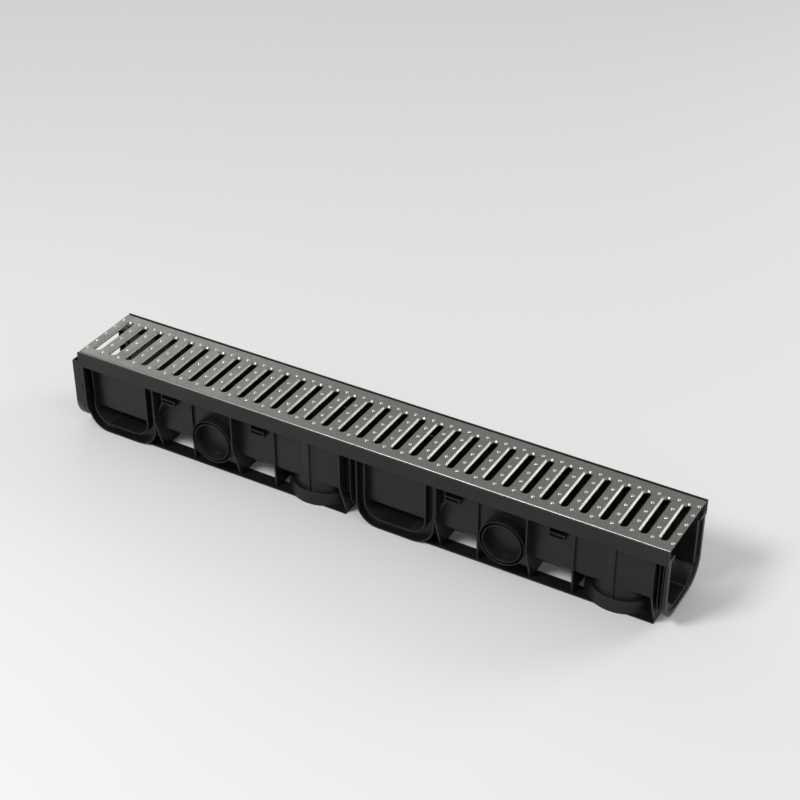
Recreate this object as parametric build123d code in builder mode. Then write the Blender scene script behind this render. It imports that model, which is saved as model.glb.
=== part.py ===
from build123d import *
import math
import os

# A drainage channel of moulded plastic and its slotted steel grate, in millimetres.
# X runs along the channel, Y across it and Z up. The origin is at the middle of its foot.

# Channel: length and rim
module_length = 500
module_count = 2
channel_height = 144
rim_width = 136.8
rim_wall = 2.2
rim_depth = 25
seat_depth = 18.5
seat_thickness = 4
seat_lip = 3

# Channel: trough
trough_width = 92
trough_wall = 2.2
trough_floor = 18
slope_leg = 24.2
trough_bend = 5

# Foot strips and cross ribs
foot_thickness = 2.2
foot_inner = 31
foot_outer = 54.1
rib_thickness = 2.5
rib_foot = 50
rib_knee = 58
deep_ribs = [142, 288.2]
shallow_rib_width = 104
shallow_rib = 203
end_rib_inset = 19.7

# Branch sockets, U-shaped
socket_offset = 69.75
socket_width = 132
socket_corner = 37
socket_face = 60
socket_plate = 3
socket_wall_depth = 16
mouth_width = 100.5
mouth_corner = 26
mouth_bottom = 18

# Round side outlets
side_outlet_offset = 248.75
side_outlet_height = 57.5
side_outlet_radius = 36.8
side_outlet_bore = 30.3
side_outlet_face = 66
side_rim = 1.8
side_groove_depth = 4

# Round bottom outlets
bottom_outlet_inset = 83.5
outlet_barrel_radius = 50
outlet_lip_radius = 55.8
outlet_lip_height = 20
outlet_foot_radius = 59.5
outlet_socket_radius = 55.2
outlet_socket_depth = 12
outlet_wall = 2
outlet_rib_proud = 3
outlet_side_rib_gap = 62

# Clip boxes under the rim
clip_width = 25
clip_bottom = 95
clip_height = 9
clip_face = 60
clip_slot = 5
first_clip_offset = 165.2
second_clip_gap = 24.3
stay_thickness = 3
stay_height = 73

# Ends that join one channel to the next
frame_width = 130
frame_corner = 39
frame_bottom = 10
frame_thickness = 5
recess_width = 116
recess_corner = 34
recess_depth = 4
recess_step = 2
end_rib_thickness = 1.6
end_rib_width = 120
end_rib_gaps = [8.8, 14.4]
coupling_reach = 12.5
coupling_wall = 2.2
coupling_clearance = 0.3
coupling_plate = 2.5
lip_width = 112
lip_wall = 1.5
lip_reach = 4.5

# Middle joint of the two modules
joint_rib_gap = 6
joint_groove_depth = 0.5
joint_groove_width = 1.6
joint_groove_offsets = [-6, 5.5]

# Snaps of the rim and lugs of the trough wall
snap_spacing = 210
end_snap_inset = 17
snap_length = 22
snap_height = 3
snap_proud = 0.4
rim_snap_drop = 2.5
lug_offsets = [71.5, 419.4]
lug_length = 16
lug_height = 2.5
lug_proud = 1.2
lug_drop = 29

# Grate
grate_clearance = 1.1
grate_end_gap = 1
sheet = 1.5
grate_bend = 3
grate_lip = 8
slot_pitch = 30
slot_length = 89
slot_width = 10
slot_collar = 3
slot_draw = 2.5
slot_margin = 19
slot_end_sides = 3
stud_rows = 5
stud_row_pitch = 23.5
stud_radius = 2.6
stud_top_radius = 1.5
stud_height = 1
stud_sides = 4
lance_length = 17
lance_height = 2.4
lance_proud = 0.4
lance_drop = 8

# Worked out from the sizes above
rim_length = module_length * module_count
rim_left = (coupling_reach - rim_length) / 2
rim_right = rim_left + rim_length
rim_centre = (rim_left + rim_right) / 2
module_starts = [rim_left + module_length * n for n in range(module_count)]
module_ends = [start + module_length for start in module_starts]
rim_inside = rim_width / 2 - rim_wall
seat = channel_height - seat_depth
seat_underside = seat - seat_thickness
trough_outside = trough_width / 2 + trough_wall
trough_underside = trough_floor - trough_wall
inner_slope_leg = slope_leg - (2 - math.sqrt(2)) * trough_wall
slope_top = trough_underside + slope_leg
grate_width = 2 * (rim_inside - grate_clearance)
grate_length = rim_length - 2 * grate_end_gap
outlet_centres = [end - bottom_outlet_inset for end in module_ends]


class UShape(BaseSketchObject):
    """An outline with a flat top and two rounded bottom corners, centred on x = 0."""

    def __init__(self, width, bottom, top, corner, mode=Mode.ADD):
        with BuildSketch() as outline:
            with BuildLine():
                sides = FilletPolyline(
                    (-width / 2, top), (-width / 2, bottom), (width / 2, bottom), (width / 2, top),
                    radius=corner,
                )
                Line(sides @ 1, sides @ 0)
            make_face()
        super().__init__(outline.sketch, 0, None, mode)


class TroughShape(BaseSketchObject):
    """A section with upright sides, two slopes at 45 degrees and a flat bottom."""

    def __init__(self, width, bottom, top, leg, bend=0, mode=Mode.ADD):
        half = width / 2
        corners = [
            (-half, top), (-half, bottom + leg), (leg - half, bottom),
            (half - leg, bottom), (half, bottom + leg), (half, top),
        ]
        with BuildSketch() as outline:
            with BuildLine():
                sides = FilletPolyline(*corners, radius=bend) if bend else Polyline(*corners)
                Line(sides @ 1, sides @ 0)
            make_face()
        super().__init__(outline.sketch, 0, None, mode)


class RibShape(BaseSketchObject):
    """A cross rib: upright from the rim down to its knee, then drawn in to the foot."""

    def __init__(self, width, knee, mode=Mode.ADD):
        half = width / 2
        with BuildSketch() as outline:
            with BuildLine():
                Polyline(
                    (-half, seat_underside), (-half, knee), (-rib_foot, foot_thickness), (-rib_foot, 0),
                    (rib_foot, 0), (rib_foot, foot_thickness), (half, knee), (half, seat_underside),
                    close=True,
                )
            make_face()
        super().__init__(outline.sketch, 0, None, mode)


class SlotShape(BaseSketchObject):
    """A long slot across the grate, its round ends drawn with a few straight sides."""

    def __init__(self, length, width, mode=Mode.ADD):
        with BuildSketch() as outline:
            Rectangle(width, length - width)
            with GridLocations(0, length - width, 1, 2):
                RegularPolygon(width / 2, 2 * slot_end_sides)
        super().__init__(outline.sketch, 0, None, mode)


class RidgeShape(BaseSketchObject):
    """The section of a snap: a low ridge that stands on a wall at x = 0, towards +x."""

    def __init__(self, height, proud, mode=Mode.ADD):
        with BuildSketch() as outline:
            with BuildLine():
                Polyline(
                    (-proud, -height / 2), (0, -height / 2), (proud, -height / 5),
                    (proud, height / 5), (0, height / 2), (-proud, height / 2),
                    close=True,
                )
            make_face()
        super().__init__(outline.sketch, 0, None, mode)


def cross_planes(places, thickness):
    """Planes across the channel for slices that are centred on the given places along X."""
    return [Plane.YZ.offset(place - thickness / 2) for place in places]


def front_plane(depth):
    """An upright plane that faces the front, as far from the middle as the depth says."""
    return Plane.XZ.offset(depth)


def snap_places():
    """Where the grate snaps in: the middle, the quarters and near both ends."""
    far = rim_length / 2 - end_snap_inset
    return [rim_centre + x for x in (-far, -snap_spacing, 0, snap_spacing, far)]


# Bottom outlet: a barrel under the trough, its lip and the flared ring on the floor
with BuildPart() as bottom_outlet:
    with BuildSketch(Plane.XZ):
        with BuildLine():
            Polyline(
                (0, 0), (outlet_foot_radius, 0), (outlet_lip_radius, outlet_lip_height),
                (outlet_barrel_radius, outlet_lip_height), (outlet_barrel_radius, seat_underside),
                (0, seat_underside),
                close=True,
            )
        make_face()
    revolve(axis=Axis.Z)


# Side outlet: a double rim with a groove between, around a bore as deep as the trough wall
with BuildPart() as side_outlet:
    with BuildSketch(Plane.XY):
        with BuildLine():
            Polyline(
                (0, 0), (side_outlet_radius, 0), (side_outlet_radius, -side_outlet_face),
                (side_outlet_radius - side_rim, -side_outlet_face),
                ((side_outlet_radius + side_outlet_bore) / 2, side_groove_depth - side_outlet_face),
                (side_outlet_bore + side_rim, -side_outlet_face), (side_outlet_bore, -side_outlet_face),
                (side_outlet_bore, -trough_outside), (0, -trough_outside),
                close=True,
            )
        make_face()
    revolve(axis=Axis.Y)


# What stands out on one long side of the channel. The other side mirrors it.
with BuildPart() as side_fittings:
    socket_centres = [(start + socket_offset, 0) for start in module_starts]
    with BuildSketch(front_plane(socket_face)):
        with Locations(*socket_centres):
            UShape(socket_width, 0, seat_underside, socket_corner)
            UShape(mouth_width, mouth_bottom, channel_height, mouth_corner, mode=Mode.SUBTRACT)
    extrude(amount=-socket_plate)
    with BuildSketch(front_plane(socket_face)):
        with Locations(*socket_centres):
            UShape(socket_width, 0, seat_underside, socket_corner)
            UShape(
                socket_width - 2 * foot_thickness, foot_thickness, channel_height,
                socket_corner - foot_thickness, mode=Mode.SUBTRACT,
            )
    extrude(amount=-socket_wall_depth)
    with BuildSketch(front_plane(socket_face)):
        with Locations(*socket_centres):
            UShape(
                mouth_width + 2 * trough_wall, mouth_bottom - trough_wall, seat_underside,
                mouth_corner + trough_wall,
            )
            UShape(mouth_width, mouth_bottom, channel_height, mouth_corner, mode=Mode.SUBTRACT)
    extrude(amount=-socket_face)

    with Locations(*[(start + side_outlet_offset, 0, side_outlet_height) for start in module_starts]):
        add(side_outlet.part)

    clip_centres = []
    for start, end in zip(module_starts, module_ends):
        clip_centres.append(start + first_clip_offset)
        clip_centres.append(end - bottom_outlet_inset - outlet_side_rib_gap - second_clip_gap)
    clip_places = [(centre, clip_bottom + clip_height / 2) for centre in clip_centres]
    with BuildSketch(front_plane(clip_face)):
        with Locations(*clip_places):
            Rectangle(clip_width, clip_height)
    extrude(amount=trough_width / 2 - clip_face)
    clip_wall = (clip_height - clip_slot) / 2
    with BuildSketch(front_plane(clip_face)):
        with Locations(*clip_places):
            Rectangle(clip_width - 2 * clip_wall, clip_slot)
    extrude(amount=-clip_slot, mode=Mode.SUBTRACT)

    with BuildSketch(front_plane(clip_face)):
        for start in module_starts:
            with BuildLine():
                wall = start + deep_ribs[0]
                box = start + first_clip_offset - clip_width / 2
                Polyline(
                    (wall, stay_height), (box, clip_bottom), (box + stay_thickness, clip_bottom),
                    (box + stay_thickness, clip_bottom - stay_thickness / 2),
                    (wall, stay_height - 1.5 * stay_thickness),
                    close=True,
                )
            make_face()
    extrude(amount=-stay_thickness)


with BuildPart() as channel_body:
    # Foot strips, from the round corner of each socket to the end rib
    for start, end in zip(module_starts, module_ends):
        strip_start = start + socket_offset - socket_width / 2 + socket_corner
        strip_end = end - end_rib_inset + rib_thickness / 2
        with BuildSketch(Plane.YZ.offset(strip_start)):
            for side in (-1, 1):
                with Locations((side * (foot_inner + foot_outer) / 2, foot_thickness / 2)):
                    Rectangle(foot_outer - foot_inner, foot_thickness)
        extrude(amount=strip_end - strip_start)

    # Cross ribs: the deep ones stand flush with the rim, the shallow ones just off the wall
    deep_places = [start + offset for start in module_starts for offset in deep_ribs]
    deep_places += [end - end_rib_inset for end in module_ends]
    with BuildSketch(*cross_planes(deep_places, rib_thickness)):
        RibShape(rim_width, rib_knee)
    extrude(amount=rib_thickness)
    shallow_places = [start + shallow_rib for start in module_starts]
    shallow_places += [centre - outlet_side_rib_gap for centre in outlet_centres]
    with BuildSketch(*cross_planes(shallow_places, rib_thickness)):
        RibShape(shallow_rib_width, slope_top)
    extrude(amount=rib_thickness)

    # Bottom outlets, each with two upright ribs and open from below
    with Locations(*[(centre, 0, 0) for centre in outlet_centres]):
        add(bottom_outlet.part)
    with BuildSketch(*cross_planes(outlet_centres, rib_thickness)):
        with Locations((0, (outlet_lip_height + seat_underside) / 2)):
            Rectangle(2 * (outlet_barrel_radius + outlet_rib_proud), seat_underside - outlet_lip_height)
    extrude(amount=rib_thickness)
    with BuildSketch(Plane.XY):
        with Locations(*[(centre, 0) for centre in outlet_centres]):
            Circle(outlet_socket_radius)
    extrude(amount=outlet_socket_depth, mode=Mode.SUBTRACT)
    with BuildSketch(Plane.XY):
        with Locations(*[(centre, 0) for centre in outlet_centres]):
            Circle(outlet_barrel_radius - outlet_wall)
    extrude(amount=slope_top, mode=Mode.SUBTRACT)

    # Sockets, side outlets and clips on both sides
    add(side_fittings.part)
    add(mirror(side_fittings.part, about=Plane.XZ, mode=Mode.PRIVATE))

    # Middle joint of two modules
    joints = module_starts[1:]
    with BuildSketch(*cross_planes([joint - joint_rib_gap for joint in joints], end_rib_thickness)):
        UShape(end_rib_width, frame_bottom, seat_underside, frame_corner)
    extrude(amount=end_rib_thickness)

    # Right end: thin ribs and the frame that the next channel slips over
    with BuildSketch(*cross_planes([rim_right - gap for gap in end_rib_gaps], end_rib_thickness)):
        UShape(end_rib_width, frame_bottom, seat_underside, frame_corner)
    extrude(amount=end_rib_thickness)
    with BuildSketch(Plane.YZ.offset(rim_right - frame_thickness)):
        UShape(frame_width, frame_bottom, seat_underside, frame_corner)
    extrude(amount=frame_thickness)

    # Left end: the coupling shell with its plate
    shell_inside = frame_width / 2 + coupling_clearance
    shell_bottom = frame_bottom - coupling_clearance - coupling_wall
    with BuildSketch(Plane.YZ.offset(rim_left - coupling_reach)):
        UShape(
            2 * (shell_inside + coupling_wall), shell_bottom, seat,
            frame_corner + coupling_clearance + coupling_wall,
        )
    extrude(amount=coupling_reach + coupling_plate)
    with BuildSketch(Plane.YZ.offset(rim_left - coupling_reach)):
        UShape(
            2 * shell_inside, shell_bottom + coupling_wall, channel_height,
            frame_corner + coupling_clearance,
        )
    extrude(amount=coupling_reach, mode=Mode.SUBTRACT)
    with BuildSketch(Plane.YZ.offset(rim_left - lip_reach)):
        UShape(lip_width, trough_floor - lip_wall, seat_underside, recess_corner)
    extrude(amount=lip_reach)

    # Trough, seat and rim along the whole length
    with BuildSketch(Plane.YZ.offset(rim_left)):
        TroughShape(2 * trough_outside, trough_underside, seat, slope_leg)
        with Locations((0, (seat_underside + seat) / 2)):
            Rectangle(rim_width, seat_thickness)
        for side in (-1, 1):
            with Locations((side * (rim_width - rim_wall) / 2, channel_height - rim_depth / 2)):
                Rectangle(rim_wall, rim_depth)
    extrude(amount=rim_length)

    # Clear way inside the trough, with its sloped lip at the seat
    with BuildSketch(Plane.YZ.offset(rim_left - coupling_reach)):
        TroughShape(trough_width, trough_floor, channel_height, inner_slope_leg, trough_bend)
    extrude(amount=coupling_reach + rim_length, mode=Mode.SUBTRACT)
    with BuildSketch(Plane.YZ.offset(rim_left - coupling_reach)):
        with BuildLine():
            top = trough_width / 2 + seat_lip
            low = trough_width / 2
            Polyline(
                (-low, seat - seat_lip), (low, seat - seat_lip), (top, seat), (-top, seat), close=True,
            )
        make_face()
    extrude(amount=coupling_reach + rim_length, mode=Mode.SUBTRACT)

    # Recess in the right end's frame
    with BuildSketch(Plane.YZ.offset(rim_right - recess_depth)):
        UShape(recess_width, trough_floor - recess_step, seat_underside, recess_corner)
    extrude(amount=recess_depth, mode=Mode.SUBTRACT)

    # Grooves of the middle joint, inside the trough
    groove_places = [joint + offset for joint in joints for offset in joint_groove_offsets]
    with BuildSketch(*cross_planes(groove_places, joint_groove_width)):
        with Locations((0, (slope_top + seat_underside) / 2)):
            Rectangle(trough_width + 2 * joint_groove_depth, seat_underside - slope_top)
    extrude(amount=joint_groove_width, mode=Mode.SUBTRACT)

    # Snaps inside the rim and lugs on the trough wall
    with BuildSketch(*cross_planes(snap_places(), snap_length)):
        for side in (-1, 1):
            with Locations(Location((side * rim_inside, channel_height - rim_snap_drop), 90 + side * 90)):
                RidgeShape(snap_height, snap_proud)
    extrude(amount=snap_length)
    lug_places = [rim_centre + side * offset for side in (-1, 1) for offset in lug_offsets]
    with BuildSketch(*cross_planes(lug_places, lug_length)):
        for side in (-1, 1):
            with Locations(Location((side * trough_width / 2, channel_height - lug_drop), 90 + side * 90)):
                RidgeShape(lug_height, lug_proud)
    extrude(amount=lug_length)


with BuildPart() as grate:
    # Sheet folded to a C: top, skirts and the inward lips that rest on the seat
    with BuildSketch(Plane.YZ.offset(rim_centre - grate_length / 2)):
        with Locations((0, channel_height - seat_depth / 2)):
            RectangleRounded(grate_width, seat_depth, grate_bend)
            RectangleRounded(
                grate_width - 2 * sheet, seat_depth - 2 * sheet, grate_bend - sheet, mode=Mode.SUBTRACT,
            )
        with Locations((0, seat)):
            Rectangle(grate_width - 2 * grate_lip, 4 * sheet, mode=Mode.SUBTRACT)
    extrude(amount=grate_length)

    # Slots across the grate, their edges drawn down to a collar
    slot_count = int((grate_length - 2 * slot_margin) / slot_pitch) + 1
    underside = channel_height - sheet
    with BuildSketch(Plane.XY.offset(underside)):
        with Locations((rim_centre, 0)):
            with GridLocations(slot_pitch, 0, slot_count, 1):
                SlotShape(slot_length + 2 * sheet, slot_width + 2 * sheet)
    extrude(amount=-slot_collar)
    with BuildSketch(Plane.XY.offset(channel_height)):
        with Locations((rim_centre, 0)):
            with GridLocations(slot_pitch, 0, slot_count, 1):
                SlotShape(slot_length, slot_width)
    extrude(amount=-sheet - slot_collar, mode=Mode.SUBTRACT)
    with BuildSketch(Plane.XY.offset(channel_height)):
        with Locations((rim_centre, 0)):
            with GridLocations(slot_pitch, 0, slot_count, 1):
                SlotShape(slot_length + 2 * slot_draw, slot_width + 2 * slot_draw)
    extrude(amount=-slot_draw, taper=45, mode=Mode.SUBTRACT)

    # Studs between the slots
    with BuildSketch(Plane.XY.offset(channel_height)):
        with Locations((rim_centre, 0)):
            with GridLocations(slot_pitch, stud_row_pitch, slot_count + 1, stud_rows):
                RegularPolygon(stud_radius, stud_sides)
    stud_taper = math.degrees(math.atan2(stud_radius - stud_top_radius, stud_height))
    extrude(amount=stud_height, taper=stud_taper)

    # Lances on both skirts that catch under the snaps of the rim
    with BuildSketch(*cross_planes(snap_places(), lance_length)):
        for side in (-1, 1):
            with Locations(Location((side * grate_width / 2, channel_height - lance_drop), 90 - side * 90)):
                RidgeShape(lance_height, lance_proud)
    extrude(amount=lance_length)


channel_body.part.label = "channel_body"
grate.part.label = "grate"
os.makedirs("parts", exist_ok=True)
export_step(channel_body.part, "parts/channel_body.step")
export_step(grate.part, "parts/grate.step")
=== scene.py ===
import math

import bmesh
import bpy
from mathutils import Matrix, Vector


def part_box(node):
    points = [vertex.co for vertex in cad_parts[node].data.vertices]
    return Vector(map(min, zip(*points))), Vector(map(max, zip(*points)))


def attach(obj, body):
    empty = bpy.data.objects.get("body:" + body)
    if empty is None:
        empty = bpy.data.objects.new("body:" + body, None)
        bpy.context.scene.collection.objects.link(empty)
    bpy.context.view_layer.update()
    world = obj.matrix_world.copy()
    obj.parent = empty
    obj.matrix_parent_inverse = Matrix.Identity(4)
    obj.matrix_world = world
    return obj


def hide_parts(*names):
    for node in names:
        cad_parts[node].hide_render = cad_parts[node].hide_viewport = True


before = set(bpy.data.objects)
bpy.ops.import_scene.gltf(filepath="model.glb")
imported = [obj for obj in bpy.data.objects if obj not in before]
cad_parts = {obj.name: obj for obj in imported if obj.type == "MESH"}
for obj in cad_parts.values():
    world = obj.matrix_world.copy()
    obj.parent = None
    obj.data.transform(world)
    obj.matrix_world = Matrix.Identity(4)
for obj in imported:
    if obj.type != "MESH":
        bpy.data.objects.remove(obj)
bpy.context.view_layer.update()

mm = 0.001
print("frame loaded:", ", ".join(sorted(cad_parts)))


# Helpers that the materials and pieces share

def addObject(name, data):
    thing = bpy.data.objects.new(name, data)
    bpy.context.scene.collection.objects.link(thing)
    return thing


def newMaterial(name):
    material = bpy.data.materials.new(name)
    material.use_nodes = True
    tree = material.node_tree
    return material, tree, tree.nodes["Principled BSDF"]


def placeCoords(tree, stretch=(1, 1, 1)):  # the piece's own coordinates, in metres
    coords = tree.nodes.new("ShaderNodeTexCoord")
    mapping = tree.nodes.new("ShaderNodeMapping")
    mapping.inputs["Scale"].default_value = stretch
    tree.links.new(coords.outputs["Object"], mapping.inputs["Vector"])
    return mapping.outputs["Vector"]


def noise(tree, vector, scale, detail=3, roughness=0.5):
    node = tree.nodes.new("ShaderNodeTexNoise")
    node.inputs["Scale"].default_value = scale
    node.inputs["Detail"].default_value = detail
    node.inputs["Roughness"].default_value = roughness
    tree.links.new(vector, node.inputs["Vector"])
    return node.outputs["Fac"]


def spread(tree, value, low, high):  # the middle of a noise, stretched over a range
    node = tree.nodes.new("ShaderNodeMapRange")
    settings = {"From Min": 0.3, "From Max": 0.7, "To Min": low, "To Max": high}
    for socket, number in settings.items():
        node.inputs[socket].default_value = number
    tree.links.new(value, node.inputs["Value"])
    return node.outputs["Result"]


def tint(tree, value, darkColour, lightColour, darkAt=0.35, lightAt=0.65):
    ramp = tree.nodes.new("ShaderNodeValToRGB")
    dark, light = ramp.color_ramp.elements
    dark.position, dark.color = darkAt, (*darkColour, 1)
    light.position, light.color = lightAt, (*lightColour, 1)
    tree.links.new(value, ramp.inputs["Fac"])
    return ramp.outputs["Color"]


def bump(tree, height, strength, distance, under=None):
    node = tree.nodes.new("ShaderNodeBump")
    node.inputs["Strength"].default_value = strength
    node.inputs["Distance"].default_value = distance
    tree.links.new(height, node.inputs["Height"])
    if under:
        tree.links.new(under, node.inputs["Normal"])
    return node.outputs["Normal"]


# Materials

plasticLook = {
    "darkBlack": (0.0062, 0.0064, 0.0063),
    "lightBlack": (0.0095, 0.0097, 0.0094),
    "cloudScale": 14,  # slow change in tone, per metre
    "grainScale": 2200,  # spark-eroded grain of the mould
    "grainBump": (0.12, 0.05 * mm),  # strength and height
    "flowScale": 45,  # faint streaks of the melt
    "flowStretch": (1, 6, 0.6),
    "flowBump": (0.05, 0.4 * mm),
    "smoothest": 0.34,
    "roughest": 0.46,
    "refraction": 1.49,
    "shine": 0.34,  # specular level of the matt mould finish
}


def mouldedPlastic():
    p = plasticLook
    material, tree, shader = newMaterial("mouldedPlastic")
    at = placeCoords(tree)
    cloud = noise(tree, at, p["cloudScale"], 4, 0.6)
    grain = noise(tree, at, p["grainScale"], 2)
    flow = noise(tree, placeCoords(tree, p["flowStretch"]), p["flowScale"], 4, 0.6)
    colour = tint(tree, cloud, p["darkBlack"], p["lightBlack"])
    roughness = spread(tree, flow, p["smoothest"], p["roughest"])
    wave = bump(tree, flow, *p["flowBump"])
    tree.links.new(colour, shader.inputs["Base Color"])
    tree.links.new(roughness, shader.inputs["Roughness"])
    tree.links.new(bump(tree, grain, *p["grainBump"], wave), shader.inputs["Normal"])
    shader.inputs["IOR"].default_value = p["refraction"]
    shader.inputs["Specular IOR Level"].default_value = p["shine"]
    return material


steelLook = {
    "spangleScale": 620,  # fine matt grain of the rolled sheet
    "spangleBump": (0.16, 0.05 * mm),
    "rollScale": 1400,
    "rollStretch": (0.03, 1, 1),  # rolling marks run along the grate
    "rollBump": (0.08, 0.03 * mm),
    "patchScale": 22,  # slow change in shine
    "rolledSteel": {
        "dark": (0.155, 0.149, 0.138),
        "light": (0.245, 0.236, 0.22),
        "smoothest": 0.3,
        "roughest": 0.42,
    },
    "paintedGlintSteel": {  # painted highlight: a brighter copy of the steel on the studs and lances, standing in for their glints
        "dark": (0.42, 0.41, 0.385),
        "light": (0.6, 0.585, 0.555),
        "smoothest": 0.2,
        "roughest": 0.27,
    },
}


def sheetSteel(name):
    s, finish = steelLook, steelLook[name]
    material, tree, shader = newMaterial(name)
    at = placeCoords(tree)
    spangle = noise(tree, at, s["spangleScale"], 3, 0.6)
    marks = noise(tree, placeCoords(tree, s["rollStretch"]), s["rollScale"], 2)
    patch = noise(tree, at, s["patchScale"], 3, 0.55)
    roughness = spread(tree, patch, finish["smoothest"], finish["roughest"])
    lines = bump(tree, marks, *s["rollBump"])
    tree.links.new(tint(tree, spangle, finish["dark"], finish["light"]), shader.inputs["Base Color"])
    tree.links.new(roughness, shader.inputs["Roughness"])
    tree.links.new(bump(tree, spangle, *s["spangleBump"], lines), shader.inputs["Normal"])
    shader.inputs["Metallic"].default_value = 1
    return material


plasticMaterial = mouldedPlastic()
steelMaterial = sheetSteel("rolledSteel")
# the brighter steel is a painted highlight, standing in for the glints of the studs and lances
paintedGlintMaterial = sheetSteel("paintedGlintSteel")
print("materials made")


# Channel: the moulded body's own form, with the finer grooves, ribs and holes of the moulding

channelLook = {
    "edgeRadius": 0.35 * mm,
    "edgeSegments": 2,
    "sharpFrom": 28,  # degrees between faces
    "weldReach": 0.002 * mm,
    "cornerSteps": 8,
    "moduleLength": 500 * mm,
    "couplingReach": 12.5 * mm,
    "seatDepth": 18.5 * mm,
    "seatThickness": 4 * mm,
    "lipBevel": 1 * mm,  # the seat's inner lip, narrow and blunt
    "lipWidth": 4 * mm,
    "lipFlatTo": 3.2 * mm,
    "lipDepth": 3.2 * mm,
    "wall": 2.2 * mm,
    "troughHalf": 46 * mm,
    "troughFloor": 18 * mm,
    "troughLeg": 22.9 * mm,
    "sink": 0.2 * mm,  # how far an added form runs into what carries it
    "holeSides": 8,
}
socketLook = {  # U-shaped branch sockets: an open groove between mouth and flange
    "offset": 69.75 * mm,
    "cut": (56.9 * mm, 60.4 * mm),  # from behind the flange plate to just clear of its face
    "flange": (127.6 * mm, 2.2 * mm, 34.8 * mm),  # width, bottom and corner
    "mouth": (104.9 * mm, 15.8 * mm, 28.2 * mm),
    "backPlate": (46.6 * mm, 48.2 * mm),
}
outletLook = {  # round side outlets: a sharp groove between two thin rims
    "offset": 248.75 * mm,
    "height": 57.5 * mm,
    "face": 66 * mm,
    "cutOver": 0.6 * mm,  # the tool stands proud of the face
    "grooveRadius": 33.55 * mm,
    "grooveHalf": 2.05 * mm,
    "grooveDepth": 9 * mm,
    "sides": 64,
}
clipLook = {  # clip boxes under the rim, with a thin rib, and knobs where the stays end
    "offsets": (165.2 * mm, 330.2 * mm),
    "face": 60 * mm,
    "bottom": 95 * mm,
    "rib": (-12.5 * mm, -10.7 * mm),
    "knobOffset": 142 * mm,
    "knobHeight": 71.5 * mm,
    "knobRadius": 2.4 * mm,
    "knobDepth": 11.4 * mm,
}
couplingLook = {  # left end: a slot for the next channel's frame, its plate and a seal groove
    "shell": (135 * mm, 7.5 * mm, 41.5 * mm),
    "inside": (130.6 * mm, 9.7 * mm, 39.3 * mm),
    "wayIn": (100 * mm, 14 * mm, 24.2 * mm),
    "endWall": 1.6 * mm,
    "slot": 14 * mm,
    "plate": 5 * mm,
    "oldPlate": 2.5 * mm,
    "grooveWidth": 3.4 * mm,
    "grooveDepth": 3 * mm,
    "grooveOver": 0.1 * mm,  # above the seat
    "grooveInset": 1 * mm,  # into the open trough
    "holeDepth": 1.2 * mm,
    "holeOver": 0.5 * mm,
    "pin": (12 * mm, 111 * mm, 1.2 * mm),  # from the end, height and radius
    "key": (15 * mm, 80 * mm, 1.8 * mm),
    "keySlot": (1.2 * mm, 10 * mm),
}
markLook = {  # faint scores on the inner wall, under the seat
    "offsets": (-316 * mm, 149 * mm, 177 * mm, 314 * mm, 342 * mm),
    "width": 1.2 * mm,
    "depth": 0.6 * mm,
    "length": 20 * mm,
    "cutOver": 1 * mm,
}


def uPath(size, top, centre=0, extra=0):  # down one side, round two corners and up the other
    steps = channelLook["cornerSteps"]
    half, bottom, corner = size[0] / 2 + extra, size[1] - extra, size[2] + extra
    path = [(centre - half, top)]
    for side, first in ((-1, 180), (1, 270)):
        for n in range(steps + 1):
            angle = math.radians(first + 90 * n / steps)
            u = centre + side * (half - corner) + corner * math.cos(angle)
            path.append((u, bottom + corner + corner * math.sin(angle)))
    return path + [(centre + half, top)]


def troughPath(growth, top):  # the inside of the trough, grown evenly outwards
    c = channelLook
    half, bottom = c["troughHalf"] + growth, c["troughFloor"] - growth
    leg = c["troughLeg"] + (2 - math.sqrt(2)) * growth
    return [
        (-half, top), (-half, bottom + leg), (leg - half, bottom),
        (half - leg, bottom), (half, bottom + leg), (half, top),
    ]


def between(outer, inner):  # the outline of the band between two paths
    return outer + inner[::-1]


def roundPath(u, w, radius, sides):
    turns = [2 * math.pi * (n + 0.5) / sides for n in range(sides)]
    return [(u + radius * math.cos(a), w + radius * math.sin(a)) for a in turns]


def boxPath(fromU, toU, fromW, toW):
    return [(fromU, fromW), (toU, fromW), (toU, toW), (fromU, toW)]


def addPrism(mesh, outline, start, end, across):  # (y, z) drawn along x, or (x, z) along y
    rows = []
    for along in (start, end):
        places = [(along, u, w) if across == "x" else (u, along, w) for u, w in outline]
        rows.append([mesh.verts.new(place) for place in places])
    for row in rows:
        mesh.faces.new(row)
    for n in range(len(outline)):
        after = (n + 1) % len(outline)
        mesh.faces.new([rows[0][n], rows[0][after], rows[1][after], rows[1][n]])


def addGrooveRing(mesh, centreX, side):  # a V turned round the outlet's axis
    o = outletLook
    outerY, innerY = o["face"] + o["cutOver"], o["face"] - o["grooveDepth"]
    half = o["grooveHalf"] * (1 + o["cutOver"] / o["grooveDepth"])
    middle = o["grooveRadius"]
    rows = []
    for radius, y in ((middle + half, outerY), (middle, innerY), (middle - half, outerY)):
        path = roundPath(centreX, o["height"], radius, o["sides"])
        rows.append([mesh.verts.new((x, side * y, z)) for x, z in path])
    for one, other in ((0, 1), (1, 2), (2, 0)):
        for n in range(o["sides"]):
            after = (n + 1) % o["sides"]
            mesh.faces.new([rows[one][n], rows[one][after], rows[other][after], rows[other][n]])


def weldedCopy(node, name):  # a CAD node's mesh as a piece of its own, its points joined up
    source = bmesh.new()
    source.from_mesh(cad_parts[node].data)
    bmesh.ops.remove_doubles(source, verts=source.verts, dist=channelLook["weldReach"])
    mesh = bpy.data.meshes.new(name)
    source.to_mesh(mesh)
    source.free()
    return addObject(name, mesh)


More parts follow.
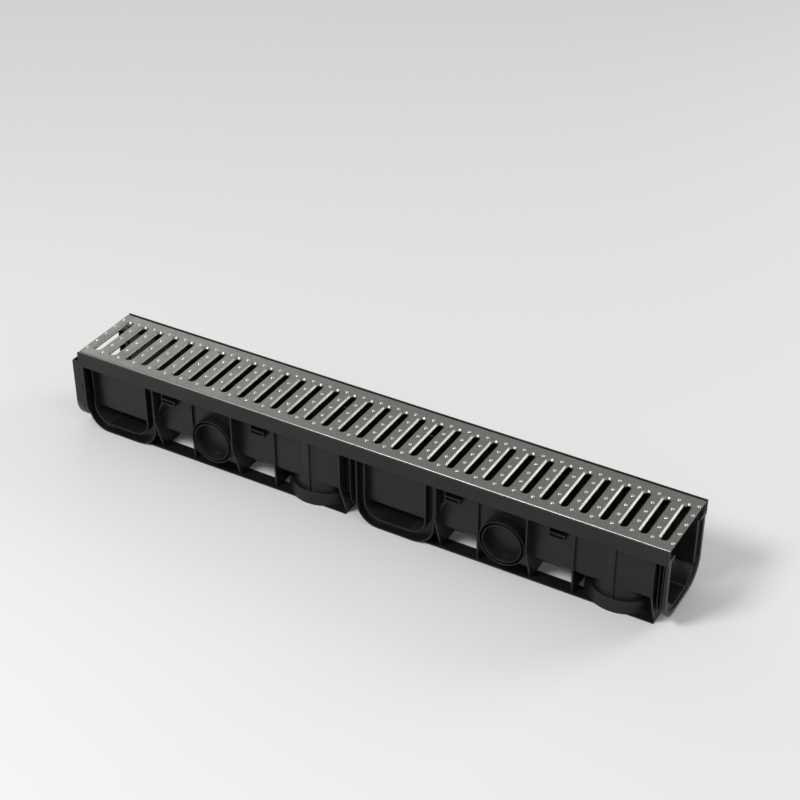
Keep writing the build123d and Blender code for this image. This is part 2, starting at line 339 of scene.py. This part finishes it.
def combine(piece, name, operation, prisms, rings=()):  # cuts or adds all the forms in one go
    mesh = bmesh.new()
    for prism in prisms:
        addPrism(mesh, *prism)
    for centreX, side in rings:
        addGrooveRing(mesh, centreX, side)
    bmesh.ops.triangulate(mesh, faces=mesh.faces)
    bmesh.ops.recalc_face_normals(mesh, faces=mesh.faces)
    data = bpy.data.meshes.new(name)
    mesh.to_mesh(data)
    mesh.free()
    tool = addObject(name, data)
    step = piece.modifiers.new(name, "BOOLEAN")
    step.operation = operation
    step.solver = "EXACT"
    step.use_self = True
    step.object = tool
    graph = bpy.context.evaluated_depsgraph_get()
    made = bpy.data.meshes.new_from_object(piece.evaluated_get(graph))
    piece.modifiers.clear()
    piece.data = made
    bpy.data.objects.remove(tool)
    print(name, "done:", len(made.polygons), "faces")


def findPlaces(low, high):  # the lengths and heights that the cut and added forms share
    c, e = channelLook, couplingLook
    at = {"end": low.x, "left": low.x + c["couplingReach"], "right": high.x, "back": high.y}
    at["seat"] = high.z - c["seatDepth"]
    at["under"] = at["seat"] - c["seatThickness"]
    at["modules"] = (at["left"], at["left"] + c["moduleLength"])
    at["slotStart"] = low.x + e["endWall"]
    at["slotEnd"] = at["slotStart"] + e["slot"]
    at["plateEnd"] = at["slotEnd"] + e["plate"]
    return at


def openGrooves(at):  # the coupling's slot, and the grooves of branch sockets and side outlets
    s, under = socketLook, at["under"]
    prisms = [(uPath(couplingLook["inside"], under), at["slotStart"], at["slotEnd"], "x")]
    rings = []
    for start in at["modules"]:
        centre = start + s["offset"]
        groove = between(uPath(s["flange"], under, centre), uPath(s["mouth"], under, centre))
        for side in (-1, 1):
            prisms.append((groove, side * s["cut"][0], side * s["cut"][1], "y"))
            rings.append((start + outletLook["offset"], side))
    return prisms, rings


def couplingForms(at):  # end wall, shell and plate round the slot, and the seal groove's collar
    c, e = channelLook, couplingLook
    seat, under, sink = at["seat"], at["under"], c["sink"]
    innerWall = troughPath(c["wall"] / 2, under)
    endWall = between(uPath(e["inside"], seat, 0, sink), uPath(e["wayIn"], seat))
    shell = between(uPath(e["shell"], seat), uPath(e["inside"], seat))
    plate = between(uPath(e["shell"], seat), troughPath(c["wall"] / 2, seat))
    collar = between(troughPath(e["grooveDepth"] + c["wall"], under), innerWall)
    collarEnd = at["plateEnd"] + e["grooveWidth"] + c["wall"]
    return [
        (endWall, at["end"], at["slotStart"], "x"),
        (shell, at["left"] + e["oldPlate"] - sink, at["slotEnd"], "x"),
        (plate, at["slotEnd"], at["plateEnd"], "x"),
        (collar, at["plateEnd"] - sink, collarEnd, "x"),
    ]


def seatLip(at, side):
    c, seat = channelLook, at["seat"]
    edge, blunt, low = side * c["troughHalf"], seat - c["lipBevel"], seat - c["lipDepth"]
    corners = (
        (0, low), (0, blunt), (c["lipBevel"], seat),
        (c["lipFlatTo"], seat), (c["lipWidth"], blunt), (c["lipWidth"], low),
    )
    return [(edge + side * across, height) for across, height in corners], at["left"], at["right"], "x"


def sideForms(at, side, start):  # one module's socket floor, clip ribs and knob on one side
    s, k, under, sink = socketLook, clipLook, at["under"], channelLook["sink"]
    centre = start + s["offset"]
    plateFrom, plateTo = s["backPlate"]
    floor = between(uPath(s["flange"], under, centre, sink), uPath(s["mouth"], under, centre, -sink))
    forms = [(floor, side * plateFrom, side * plateTo, "y")]
    for offset in k["offsets"]:
        ribFrom, ribTo = (start + offset + edge for edge in k["rib"])
        rib = boxPath(ribFrom, ribTo, k["bottom"], under + sink)
        forms.append((rib, side * plateFrom, side * k["face"], "y"))
    knob = roundPath(start + k["knobOffset"], k["knobHeight"], k["knobRadius"], channelLook["holeSides"])
    forms.append((knob, side * (at["back"] - k["knobDepth"]), side * at["back"], "y"))
    return forms


def sealGroove(at):
    e = couplingLook
    top = at["seat"] + e["grooveOver"]
    groove = between(troughPath(e["grooveDepth"], top), troughPath(-e["grooveInset"], top))
    return groove, at["plateEnd"], at["plateEnd"] + e["grooveWidth"], "x"


def sideHoles(at, side):  # pin hole and keyhole of the coupling, and the scores of the inner wall
    c, e, m = channelLook, couplingLook, markLook
    flank = e["shell"][0] / 2
    reach = (side * (flank - e["holeDepth"]), side * (flank + e["holeOver"]), "y")
    fromEnd, height, radius = e["pin"]
    holes = [(roundPath(at["end"] + fromEnd, height, radius, c["holeSides"]), *reach)]
    fromEnd, height, radius = e["key"]
    keyX, halfWidth, halfLength = at["end"] + fromEnd, e["keySlot"][0] / 2, e["keySlot"][1] / 2
    keySlot = boxPath(keyX - halfWidth, keyX + halfWidth, height - halfLength, height + halfLength)
    holes.append((keySlot, *reach))
    holes.append((roundPath(keyX, height - halfLength, radius, c["holeSides"]), *reach))
    wallFrom, wallTo = c["troughHalf"] - m["cutOver"], c["troughHalf"] + m["depth"]
    for offset in m["offsets"]:
        x = (at["left"] + at["right"]) / 2 + offset
        score = boxPath(x - m["width"] / 2, x + m["width"] / 2, at["under"] - m["length"], at["under"])
        holes.append((score, side * wallFrom, side * wallTo, "y"))
    return holes


def roundEdges(piece, low, high):
    c = channelLook
    weld = piece.modifiers.new("weld", "WELD")
    weld.merge_threshold = c["weldReach"]
    rounding = piece.modifiers.new("rounding", "BEVEL")
    rounding.width = c["edgeRadius"]
    rounding.segments = c["edgeSegments"]
    rounding.limit_method = "ANGLE"
    rounding.angle_limit = math.radians(c["sharpFrom"])
    rounding.use_clamp_overlap = False
    rounding.harden_normals = True
    graph = bpy.context.evaluated_depsgraph_get()
    made = bpy.data.meshes.new_from_object(
        piece.evaluated_get(graph), preserve_all_data_layers=True, depsgraph=graph,
    )
    piece.modifiers.clear()
    piece.data = made
    for vertex in made.vertices:  # no rounded corner reaches past the body's own box
        sizes = zip(vertex.co, low, high)
        vertex.co = [min(max(value, least), most) for value, least, most in sizes]


def buildChannel():
    low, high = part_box("channel_body")
    at = findPlaces(low, high)
    channel = weldedCopy("channel_body", "mouldedChannel")
    combine(channel, "openGrooves", "DIFFERENCE", *openGrooves(at))
    forms = couplingForms(at)
    for side in (-1, 1):
        forms.append(seatLip(at, side))
        for start in at["modules"]:
            forms += sideForms(at, side, start)
    combine(channel, "finerForms", "UNION", forms)
    holes = [sealGroove(at)] + sideHoles(at, -1) + sideHoles(at, 1)
    combine(channel, "sealGrooveAndHoles", "DIFFERENCE", holes)
    channel.data.materials.clear()
    channel.data.materials.append(plasticMaterial)
    roundEdges(channel, low, high)
    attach(channel, "channel")
    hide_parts("channel_body")
    print("channel built")


buildChannel()


# Grate: one sheet folded to a C, its slots drawn down, with pressed studs and lances

grateLook = {
    "sheet": 1.5 * mm,
    "bendRadius": 3 * mm,
    "bendSteps": 8,
    "lip": 8 * mm,
    "endMargin": 1 * mm,  # flat metal kept beyond the last slot's pitch
    "sharpFrom": 40,  # degrees between faces
    "slotPitch": 30 * mm,
    "slotLength": 89 * mm,
    "slotWidth": 10 * mm,
    "slotDraw": 3 * mm,  # width and depth of the drawn edge
    "drawRadius": 0.8 * mm,  # where the flank meets the flat and the collar
    "drawSteps": 3,
    "drawAngle": 45,  # the drawn flank's slope
    "collar": 3 * mm,
    "endSteps": 14,  # sides of a slot's round end
    "studHeight": 1 * mm,
    "studRadius": 2.8 * mm,
    "studSink": 0.5 * mm,
    "studRows": 5,
    "studRowPitch": 23.5 * mm,
    "studSides": 16,
    "studSteps": 7,
    "studSpread": 1.6,  # above 1, more rings near the crown
    "studFlatness": 4,  # power of the dome's curve
    "lanceLength": 17 * mm,
    "lanceHeight": 2.8 * mm,
    "lanceProud": 0.4 * mm,
    "lanceSink": 0.3 * mm,
    "lanceDrop": 8 * mm,
    "lancePitch": 210 * mm,
    "lanceEndInset": 16 * mm,
    "lanceSteps": 8,
    "lanceSections": 14,
    "lanceBluntness": 6,  # power of its outline
    "lanceEndSize": 0.02,  # share of the full section at its tips
}


class SheetMesh:  # a mesh whose points are shared wherever they fall on the same place
    def __init__(self):
        self.mesh = bmesh.new()
        self.points = {}
        self.finish = 0  # the material slot that new faces take

    def point(self, place):
        key = tuple(round(value * 1e7) for value in place)
        if key not in self.points:
            self.points[key] = self.mesh.verts.new(place)
        return self.points[key]

    def face(self, places):
        corners = []
        for place in places:
            corner = self.point(place)
            if corner not in corners:
                corners.append(corner)
        if len(corners) > 2:
            self.mesh.faces.new(corners).material_index = self.finish

    def bridge(self, one, other, closed=False):  # faces between two rows of places
        count = len(one)
        for n in range(count if closed else count - 1):
            after = (n + 1) % count
            self.face([one[n], one[after], other[after], other[n]])

    def finished(self, name):
        bmesh.ops.recalc_face_normals(self.mesh, faces=self.mesh.faces)
        mesh = bpy.data.meshes.new(name)
        self.mesh.to_mesh(mesh)
        self.mesh.free()
        return mesh


def slotOutline(centreX, grow, z):  # starts at the near end's middle and runs round by way of -X
    g = grateLook
    radius = g["slotWidth"] / 2 + grow
    straight = (g["slotLength"] - g["slotWidth"]) / 2
    places = []
    for end in (-1, 1):
        for n in range(g["endSteps"] + 1):
            turn = math.pi * n / g["endSteps"]
            x = centreX - end * radius * math.cos(turn)
            places.append((x, end * (straight + radius * math.sin(turn)), z))
    half = g["endSteps"] // 2
    return places[half:] + places[:half]


def foldedSide(side, topZ, bottomZ, halfWidth):  # a skirt's outer and inner line, top to lip
    g = grateLook
    bend = g["bendRadius"]
    outer, inner = [], []
    for centreZ, startAngle in ((topZ - bend, 90), (bottomZ + bend, 0)):
        for n in range(g["bendSteps"] + 1):
            angle = math.radians(startAngle - 90 * n / g["bendSteps"])
            for line, radius in ((outer, bend), (inner, bend - g["sheet"])):
                y = halfWidth - bend + radius * math.cos(angle)
                line.append((side * y, centreZ + radius * math.sin(angle)))
    outer.append((side * (halfWidth - g["lip"]), bottomZ))
    inner.append((side * (halfWidth - g["lip"]), bottomZ + g["sheet"]))
    return outer, inner


def undersideBend():  # how far the underside's corners are set off from those above
    return grateLook["sheet"] * math.tan(math.radians(grateLook["drawAngle"] / 2))


def addSlot(sheet, centreX, topZ):
    g = grateLook
    draw, radius, steps, slope = g["slotDraw"], g["drawRadius"], g["drawSteps"], g["drawAngle"]
    rings = []
    for n in range(steps + 1):  # from the flat into the flank
        angle = math.radians(slope * n / steps)
        rings.append((draw - radius * math.sin(angle), topZ - radius * (1 - math.cos(angle))))
    for n in range(steps + 1):  # from the flank into the upright collar
        angle = math.radians(slope + (90 - slope) * n / steps)
        rings.append((radius * (1 - math.sin(angle)), topZ - draw + radius * math.cos(angle)))
    collarBottom = topZ - g["sheet"] - g["collar"]
    bend = undersideBend()
    rings += [(0, collarBottom), (g["sheet"], collarBottom)]
    rings += [(g["sheet"], topZ - draw - bend), (draw + bend, topZ - g["sheet"])]
    outlines = [slotOutline(centreX, grow, z) for grow, z in rings]
    for upper, lower in zip(outlines, outlines[1:]):
        sheet.bridge(upper, lower, closed=True)


def addPlateAround(sheet, centreX, flatHalf, z, reach):  # one pitch's flat metal, in two halves
    outline = slotOutline(centreX, reach, z)
    count = len(outline) // 2
    halves = ((-1, outline[:count + 1]), (1, outline[count:] + outline[:1]))
    for side, rim in halves:
        edge = centreX + side * grateLook["slotPitch"] / 2
        near, far = (-1, 1) if side < 0 else (1, -1)
        sheet.face([
            (centreX, near * flatHalf, z), *rim, (centreX, far * flatHalf, z),
            (edge, far * flatHalf, z), (edge, near * flatHalf, z),
        ])


def addStud(sheet, x, y, z):  # a low dome, sunk a little into the sheet so that it is one with it
    g = grateLook
    rings = [(g["studRadius"], z - g["studSink"])]
    for n in range(g["studSteps"]):
        reach = 1 - (n / g["studSteps"]) ** g["studSpread"]
        rise = g["studHeight"] * (1 - reach ** g["studFlatness"])
        rings.append((g["studRadius"] * reach, z + rise))
    turns = [2 * math.pi * n / g["studSides"] for n in range(g["studSides"])]
    circles = []
    for radius, height in rings:
        circles.append([(x + radius * math.cos(a), y + radius * math.sin(a), height) for a in turns])
    for lower, upper in zip(circles, circles[1:]):
        sheet.bridge(lower, upper, closed=True)
    for n in range(g["studSides"]):
        after = (n + 1) % g["studSides"]
        sheet.face([circles[-1][n], circles[-1][after], (x, y, z + g["studHeight"])])
    sheet.face(circles[0])


def addLance(sheet, x, side, faceY, z):  # a rounded bar pressed out of the skirt
    g = grateLook
    steps, sections, sink = g["lanceSteps"], g["lanceSections"], g["lanceSink"]
    rows = []
    for n in range(sections + 1):
        along = -math.cos(math.pi * n / sections)
        full = math.sqrt(max(0.0, 1 - along ** g["lanceBluntness"])) or g["lanceEndSize"]
        row = []
        for m in range(steps + 1):
            angle = math.pi * m / steps
            row.append((
                x + along * g["lanceLength"] / 2,
                side * (faceY - sink + (g["lanceProud"] + sink) * full * math.sin(angle)),
                z - full * g["lanceHeight"] / 2 * math.cos(angle),
            ))
        rows.append(row)
    for one, other in zip(rows, rows[1:]):
        sheet.bridge(one, other, closed=True)
    sheet.face(rows[0])
    sheet.face(rows[-1])


def addFoldedSkirts(sheet, stops, topZ, bottomZ, halfWidth):
    for side in (-1, 1):
        outer, inner = foldedSide(side, topZ, bottomZ, halfWidth)
        for line in (outer, inner, [outer[-1], inner[-1]]):
            rows = [[(x, y, z) for y, z in line] for x in stops]
            for one, other in zip(rows, rows[1:]):
                sheet.bridge(one, other)
        for x in (stops[0], stops[-1]):
            sheet.bridge([(x, y, z) for y, z in outer], [(x, y, z) for y, z in inner])


def buildGrate():
    g = grateLook
    low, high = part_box("grate")
    topZ, bottomZ = high.z - g["studHeight"], low.z
    underZ = topZ - g["sheet"]
    halfWidth = high.y - g["lanceProud"]
    flatHalf = halfWidth - g["bendRadius"]
    middleX, length, pitch = (low.x + high.x) / 2, high.x - low.x, g["slotPitch"]
    slotCount = int((length - 2 * g["endMargin"]) / pitch)
    slotXs = [middleX + (n - (slotCount - 1) / 2) * pitch for n in range(slotCount)]
    sheet = SheetMesh()
    for x in slotXs:
        addSlot(sheet, x, topZ)
        addPlateAround(sheet, x, flatHalf, topZ, g["slotDraw"])
        addPlateAround(sheet, x, flatHalf, underZ, g["slotDraw"] + undersideBend())
    firstEdge, lastEdge = slotXs[0] - pitch / 2, slotXs[-1] + pitch / 2
    for end, edge in ((low.x, firstEdge), (lastEdge, high.x)):
        for z in (topZ, underZ):
            sheet.face([(end, -flatHalf, z), (edge, -flatHalf, z), (edge, flatHalf, z), (end, flatHalf, z)])
    stops = [low.x, firstEdge]
    for x in slotXs:
        stops += [x, x + pitch / 2]
    stops.append(high.x)
    addFoldedSkirts(sheet, stops, topZ, bottomZ, halfWidth)
    for x in (low.x, high.x):
        sheet.face([(x, -flatHalf, topZ), (x, flatHalf, topZ), (x, flatHalf, underZ), (x, -flatHalf, underZ)])
    # the studs and lances take the brighter steel, a painted highlight for their glints
    sheet.finish = 1
    for n in range(slotCount + 1):
        for row in range(g["studRows"]):
            y = (row - (g["studRows"] - 1) / 2) * g["studRowPitch"]
            addStud(sheet, firstEdge + n * pitch, y, topZ)
    farLance = length / 2 - g["lanceEndInset"]
    for offset in (-farLance, -g["lancePitch"], 0, g["lancePitch"], farLance):
        for side in (-1, 1):
            addLance(sheet, middleX + offset, side, halfWidth, topZ - g["lanceDrop"])
    mesh = sheet.finished("slottedGrate")
    grate = addObject("slottedGrate", mesh)
    mesh.materials.append(steelMaterial)
    mesh.materials.append(paintedGlintMaterial)
    for polygon in mesh.polygons:
        polygon.use_smooth = True
    mesh.set_sharp_from_angle(angle=math.radians(g["sharpFrom"]))
    evenNormals = grate.modifiers.new("evenNormals", "WEIGHTED_NORMAL")
    evenNormals.keep_sharp = True
    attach(grate, "cover")
    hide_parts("grate")
    print("grate built:", slotCount, "slots,", len(mesh.polygons), "faces")


buildGrate()


# Studio: pale floor, soft lamps, a pale world

studioLook = {
    "floorSize": 30,
    "floorColour": (0.8, 0.8, 0.8),
    "floorRoughness": 0.9,
    "floorShine": 0.1,
    "worldColour": (0.82, 0.82, 0.82),
    "worldStrength": 0.55,
    "seenStrength": 0.9,
    "lamps": {  # place, aim, size in metres, watts
        "keyLamp": ((-1.1, -2.3, 2.9), (0, 0, 0.1), 1.2, 85),
        "fillLamp": ((3.0, -0.6, 1.6), (0, 0, 0.1), 1.6, 12),
        "edgeLamp": ((2.25, 2.5, 1.25), (0, 0, 0.2), 1.7, 38),  # low behind, along the drawn edges
        "topLamp": ((-2.3, 2.1, 1.8), (-0.3, 0, 0.2), 1.2, 4.5),
    },
}


def buildFloor():
    s = studioLook
    side = s["floorSize"] / 2
    corners = [(-side, -side, 0), (side, -side, 0), (side, side, 0), (-side, side, 0)]
    mesh = bpy.data.meshes.new("studioFloor")
    mesh.from_pydata(corners, [], [(0, 1, 2, 3)])
    floor = addObject("studioFloor", mesh)
    material, tree, shader = newMaterial("paleFloor")
    shader.inputs["Base Color"].default_value = (*s["floorColour"], 1)
    shader.inputs["Roughness"].default_value = s["floorRoughness"]
    shader.inputs["Specular IOR Level"].default_value = s["floorShine"]
    mesh.materials.append(material)


def buildLamps():
    for name, (place, aim, size, power) in studioLook["lamps"].items():
        light = bpy.data.lights.new(name, "AREA")
        light.shape, light.size, light.energy = "DISK", size, power
        lamp = addObject(name, light)
        lamp.location = place
        lamp.rotation_euler = (Vector(aim) - lamp.location).to_track_quat("-Z", "Y").to_euler()


def buildWorld():  # lights the object at one strength and is seen at another
    s = studioLook
    world = bpy.data.worlds.new("paleWorld")
    bpy.context.scene.world = world
    world.use_nodes = True
    tree = world.node_tree
    lit, seen = tree.nodes["Background"], tree.nodes.new("ShaderNodeBackground")
    for background, strength in ((lit, s["worldStrength"]), (seen, s["seenStrength"])):
        background.inputs["Color"].default_value = (*s["worldColour"], 1)
        background.inputs["Strength"].default_value = strength
    path = tree.nodes.new("ShaderNodeLightPath")
    isSeen = path.outputs["Is Camera Ray"]
    for ray in ("Is Glossy Ray", "Is Transmission Ray"):
        larger = tree.nodes.new("ShaderNodeMath")
        larger.operation = "MAXIMUM"
        tree.links.new(isSeen, larger.inputs[0])
        tree.links.new(path.outputs[ray], larger.inputs[1])
        isSeen = larger.outputs[0]
    choice = tree.nodes.new("ShaderNodeMixShader")
    tree.links.new(isSeen, choice.inputs["Fac"])
    tree.links.new(lit.outputs[0], choice.inputs[1])
    tree.links.new(seen.outputs[0], choice.inputs[2])
    tree.links.new(choice.outputs[0], tree.nodes["World Output"].inputs["Surface"])


cameraLook = {
    "place": (1.12035, -1.8585, 1.6472),
    "down": 34.065,  # degrees below level
    "turn": 29.917,
    "lens": 80.27,
    "sensor": 36,
}


def buildCamera():
    c = cameraLook
    lens = bpy.data.cameras.new("studioCamera")
    lens.lens = c["lens"]
    lens.sensor_width = c["sensor"]
    camera = addObject("studioCamera", lens)
    camera.location = c["place"]
    camera.rotation_euler = (math.radians(90 - c["down"]), 0, math.radians(c["turn"]))
    bpy.context.scene.camera = camera


buildFloor()
buildLamps()
buildWorld()
buildCamera()
bpy.context.scene.view_settings.view_transform = "Standard"
print("studio set")
